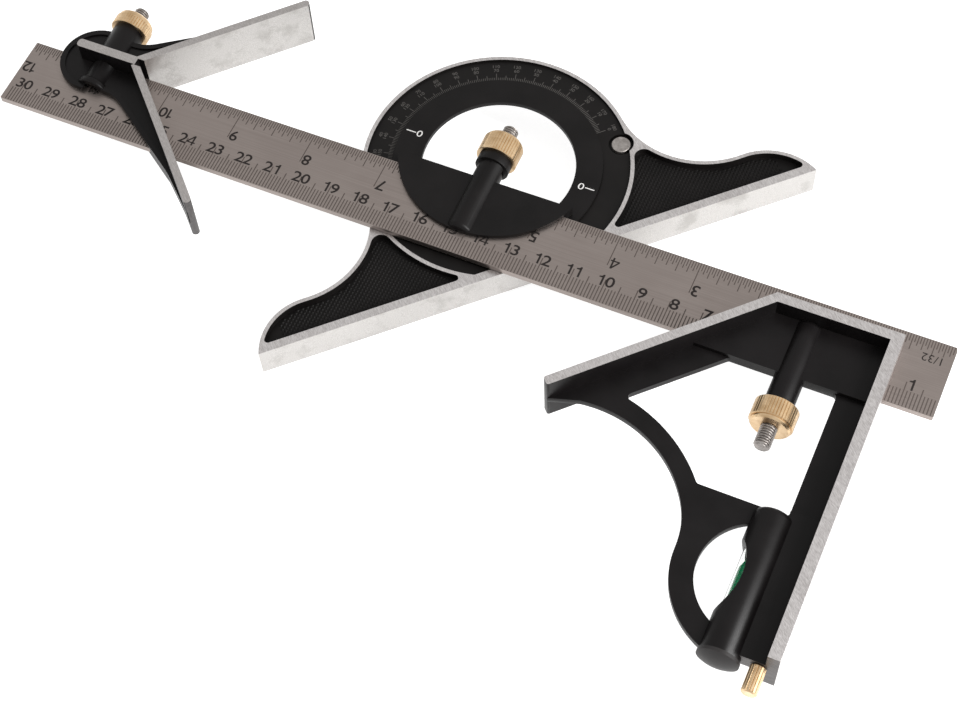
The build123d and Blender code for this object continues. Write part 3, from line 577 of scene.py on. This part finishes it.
numbers = bmesh.new()
for number in range(1, 31):
    text = str(number)
    centres = [DIGIT_STEP / 2] if len(text) == 1 else [-DIGIT_STEP / 2, DIGIT_STEP / 2]
    for digit, offset in zip(text, centres):
        spot = spot_at(-10.0 * number + offset, CM_DIGIT_Y, RULE_MID)
        add_number(numbers, digit, CM_DIGIT, spot, BOLD, CM_DIGIT_WIDE)
for number in range(1, 13):
    x = -number * INCH + INCH_DIGIT_GAP
    for digit in reversed(str(number)):
        width = glyph(digit, INCH_DIGIT, BOLD)["width"]
        spot = spot_at(x + width / 2, INCH_DIGIT_Y, RULE_MID)
        add_number(numbers, digit, INCH_DIGIT, spot @ UPSIDE_DOWN, BOLD, INCH_DIGIT_WIDE)
        x += width + INCH_DIGIT_GAP
add_number(numbers, "1/32", SCALE_LABEL, spot_at(*SCALE_LABEL_AT, RULE_MID) @ UPSIDE_DOWN)
new_piece("rule_numbers", numbers, [INK], "rule")

# ------------------------------------------------------------------ dial and index marks

DIAL_Z = -2.0
DIAL_IN = 32.7
DEGREE_HALF = 0.09
DIAL_DIGIT = 1.15
DIAL_DIGIT_WIDE = 1.05
UPPER_ROW, LOWER_ROW = 38.5, 36.95  # radii of the two rows of numbers
SUNK_PROUD = 0.02
TO_DIAL = spot_at(DIAL.x, DIAL.y, 0)
dial_z = (DIAL_Z + SUNK_PROUD - MARK_THICK, DIAL_Z + SUNK_PROUD)


def dial_spin(degrees):
    """Carries the base's direction round the dial by degrees."""
    return TO_DIAL @ Matrix.Rotation(BASE_TURN + math.radians(degrees), 4, "Z")


def degree_tick(degree):
    """Length of a degree's mark."""
    return 3.0 if degree % 10 == 0 else 2.2 if degree % 5 == 0 else 1.4


dial = bmesh.new()
for degree in range(0, 181):
    x = (DIAL_IN, DIAL_IN + degree_tick(degree))
    add_box(dial, x, (-DEGREE_HALF, DEGREE_HALF), dial_z, dial_spin(degree))
for degree in range(0, 181, 10):
    for text, radius in ((str(180 - degree), UPPER_ROW), (str(degree), LOWER_ROW)):
        spot = dial_spin(degree) @ spot_at(radius, 0, sum(dial_z) / 2)
        upright = spot @ Matrix.Rotation(-math.pi / 2, 4, "Z")
        add_number(dial, text, DIAL_DIGIT, upright, wide=DIAL_DIGIT_WIDE)
new_piece("dial_graduations", dial, [GREY_MARK], "protractor")

INDEX_RING = 30.5  # radius on the turret's flange, near the marks
INDEX_RING_HALF = 1.6
INDEX_Y = 25.7
INDEX_ZERO = 2.35
INDEX_ZERO_WIDE = 1.25
INDEX_LINE_HALF = 0.17
INDEX_GAP = 1.3
flange = [p.z for p in corner_points("protractor_turret")
          if abs((p - DIAL).xy.length - INDEX_RING) < INDEX_RING_HALF]
turret_top = max(z for z in flange if z < 0)
index_z = (turret_top + SUNK_PROUD - MARK_THICK, turret_top + SUNK_PROUD)

index_marks = bmesh.new()
for side, zero_x, line_x in ((-1, -173.7, -178.2), (1, -119.8, -115.5)):
    spot = spot_at(zero_x, INDEX_Y, sum(index_z) / 2)
    add_number(index_marks, "0", INDEX_ZERO, spot, wide=INDEX_ZERO_WIDE)
    ends = sorted((zero_x + side * INDEX_GAP, line_x))
    add_box(index_marks, ends, (INDEX_Y - INDEX_LINE_HALF, INDEX_Y + INDEX_LINE_HALF), index_z)
new_piece("turret_index_marks", index_marks, [WHITE_MARK], "turret")

# ------------------------------------------------------------------ panel studs

STUD_PITCH = 1.1
STUD_HEIGHT = 0.28
STUD_SINK = 0.05
STUD_SHARE = 0.86      # a stud's half-diagonal as a share of the step
STUD_TOP_SHARE = 0.3   # its top's size as a share of its foot's
PANEL_DEPTH = 2.4
PANEL_FLOOR = PR_TOP - PANEL_DEPTH
PANEL_REACH = 80       # how far the field of studs runs from the dial's centre, along the base
PANEL_NEAR, PANEL_FAR = 10, -40
step = STUD_PITCH / math.sqrt(2)
body_tree = BVHTree.FromPolygons([v.co for v in nodes["protractor_body"].data.vertices],
                                 [p.vertices for p in nodes["protractor_body"].data.polygons])


def over_panel(x, y):
    """True if the first face under a point high above is the panel's floor."""
    place, normal, _, _ = body_tree.ray_cast(Vector((x, y, 50)) * MM, Vector((0, 0, -1)))
    return place is not None and abs(place.z / MM - PANEL_FLOOR) < 0.02 and normal.z > FACING


def from_dial(along, inward):
    """A point at distances from the dial's centre along the base and away from it."""
    point = DIAL + BASE_ALONG * along - BASE_OUT * inward
    return point.x, point.y


def add_stud(bm, u, v):
    """A diamond-shaped stud, if all of it lies over the panel."""
    half = step * STUD_SHARE
    corners = ((half, 0), (0, half), (-half, 0), (0, -half))
    foot = [from_dial(u + a, v + b) for a, b in corners]
    if not all(over_panel(*p) for p in foot + [from_dial(u, v)]):
        return
    low = [bm.verts.new(Vector((*p, PANEL_FLOOR - STUD_SINK)) * MM) for p in foot]
    crown = [from_dial(u + a * STUD_TOP_SHARE, v + b * STUD_TOP_SHARE) for a, b in corners]
    top = [bm.verts.new(Vector((*p, PANEL_FLOOR + STUD_HEIGHT)) * MM) for p in crown]
    bm.faces.new(low[::-1])
    bm.faces.new(top)
    for k in range(4):
        bm.faces.new((low[k], low[(k + 1) % 4], top[(k + 1) % 4], top[k]))


studs = bmesh.new()
count = int(PANEL_REACH / step)
for i in range(-count, count + 1):
    for j in range(-count, count + 1):
        if (i + j) % 2 == 0 and PANEL_FAR <= j * step <= PANEL_NEAR:
            add_stud(studs, i * step, j * step)
new_piece("protractor_panel_studs", studs, [DIAL_PAINT], "protractor")

# ------------------------------------------------------------------ threads

THREAD_R = 2.45
THREAD_DEPTH = 0.5
PITCH = 0.8
THREAD_TURNS = 48     # points round the thread
ROWS_PER_PITCH = 12
THREAD_INSIDE = 1.0   # how far inside the nut the cut thread starts
TIP_CUT = 0.55        # how much the tip's end is narrowed
SHOULDER_CLEAR = 1.3  # from the spring's end to the thread's shoulder, more than the bolt's travel
THREAD_CREASE = 40


def thread_radius(along, k, side, left):
    """The thread's radius at a distance from its start, at point k round it, with left still to its tip."""
    phase = (along / PITCH - side * k / THREAD_TURNS) % 1.0
    crest = min(1.0, max(0.0, 1.7 * (1 - abs(2 * phase - 1)) - 0.2))
    return min(THREAD_R - THREAD_DEPTH * (1 - crest), THREAD_R - TIP_CUT + left)


def threaded_bolt(bolt, nut, spring):
    """Replaces a lock bolt: the same rod, with a cut helical thread from inside its nut to its tip."""
    nut_low, nut_high = (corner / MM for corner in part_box(nut))
    bolt_low, bolt_high = (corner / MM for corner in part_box(bolt))
    axis = (nut_low + nut_high) / 2
    side = 1 if axis.y > 0 else -1
    tip = bolt_high.y if side > 0 else bolt_low.y
    start = (nut_low.y if side > 0 else nut_high.y) + side * THREAD_INSIDE
    spring_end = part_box(spring)[1 if side > 0 else 0].y / MM
    bm = copied(bolt)
    for vert in bm.verts:
        if 0.1 < side * (vert.co.y / MM - spring_end) < SHOULDER_CLEAR:
            vert.co.y = (spring_end + side * SHOULDER_CLEAR) * MM
    cut = bmesh.ops.bisect_plane(bm, geom=bm.verts[:] + bm.edges[:] + bm.faces[:], dist=1e-7,
                                 plane_co=Vector((0, start, 0)) * MM, plane_no=(0, side, 0), clear_outer=True)
    rim = [e for e in cut["geom_cut"] if isinstance(e, bmesh.types.BMEdge) and e.is_boundary]
    bmesh.ops.contextual_create(bm, geom=rim)
    length = abs(tip - start)
    rows = int(length / (PITCH / ROWS_PER_PITCH))
    rings = []
    for row in range(rows + 1):
        along = length * row / rows
        ring = []
        for k in range(THREAD_TURNS):
            angle = 2 * math.pi * k / THREAD_TURNS
            radius = thread_radius(along, k, side, length - along)
            ring.append(bm.verts.new(Vector((axis.x + radius * math.cos(angle), start + side * along,
                                             axis.z + radius * math.sin(angle))) * MM))
        rings.append(ring)
    for low, high in zip(rings, rings[1:]):
        for k in range(THREAD_TURNS):
            follow = (k + 1) % THREAD_TURNS
            bm.faces.new((low[k], low[follow], high[follow], high[k]))
    bm.faces.new(rings[0])
    bm.faces.new(rings[-1])
    bmesh.ops.recalc_face_normals(bm, faces=bm.faces)
    made = new_piece(bolt + "_threaded", bm, [BOLT_STEEL], body_of_node(bolt), THREAD_CREASE)
    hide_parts(bolt)


for head in ("square", "protractor", "centre"):
    threaded_bolt(head + "_lock_bolt", head + "_lock_nut", head + "_lock_spring")

# ------------------------------------------------------------------ camera, floor and light

CAMERA_AT = (3.30, -289.03, 480.08)
CAMERA_TURN = (30.276, 4.889, 25.172)
camera = bpy.data.objects.new("camera", bpy.data.cameras.new("camera"))
camera.data.sensor_width = 36
camera.data.lens = 72.17
camera.data.shift_x = 0.111
camera.data.shift_y = 0.0017
camera.data.clip_start = 0.01
camera.data.clip_end = 20
camera.location = Vector(CAMERA_AT) * MM
camera.rotation_euler = Euler([math.radians(a) for a in CAMERA_TURN])
bpy.context.scene.collection.objects.link(camera)
bpy.context.scene.camera = camera
bpy.context.scene.view_settings.view_transform = "Standard"

FLOOR_HALF = 3.0
FLOOR_GAP = 0.2
floor_z = cad_box[0].z - FLOOR_GAP * MM
floor_mesh = bpy.data.meshes.new("floor")
floor_corners = [(x * FLOOR_HALF, y * FLOOR_HALF, floor_z) for x, y in ((-1, -1), (1, -1), (1, 1), (-1, 1))]
floor_mesh.from_pydata(floor_corners, [], [(0, 1, 2, 3)])
floor = bpy.data.objects.new("floor", floor_mesh)
paper = Finish("pale_floor", Roughness=0.9, Specular_IOR_Level=0.0, Emission_Strength=0.85)
paper.shader.inputs["Emission Color"].default_value = (1, 1, 1, 1)
paper.colour(paper.blend(paper.noise((0.02, 0.02, 0.02)), (0.50, 0.50, 0.50), (0.53, 0.53, 0.53)))
floor_mesh.materials.append(paper.material)
bpy.context.scene.collection.objects.link(floor)

world = bpy.data.worlds.new("studio")
world.use_nodes = True
world.node_tree.nodes["Background"].inputs["Color"].default_value = (1.0, 0.995, 0.985, 1)
world.node_tree.nodes["Background"].inputs["Strength"].default_value = 0.84
bpy.context.scene.world = world

STRIP_AT = Vector((0.62, -0.05, 0.42))
strip = bpy.data.lights.new("strip", "AREA")
strip.shape = "RECTANGLE"
strip.size = 0.10
strip.size_y = 0.8
strip.energy = 14
strip_light = bpy.data.objects.new("strip", strip)
strip_light.location = STRIP_AT
strip_light.rotation_euler = ((cad_box[0] + cad_box[1]) / 2 - STRIP_AT).to_track_quat("-Z", "Y").to_euler()
bpy.context.scene.collection.objects.link(strip_light)
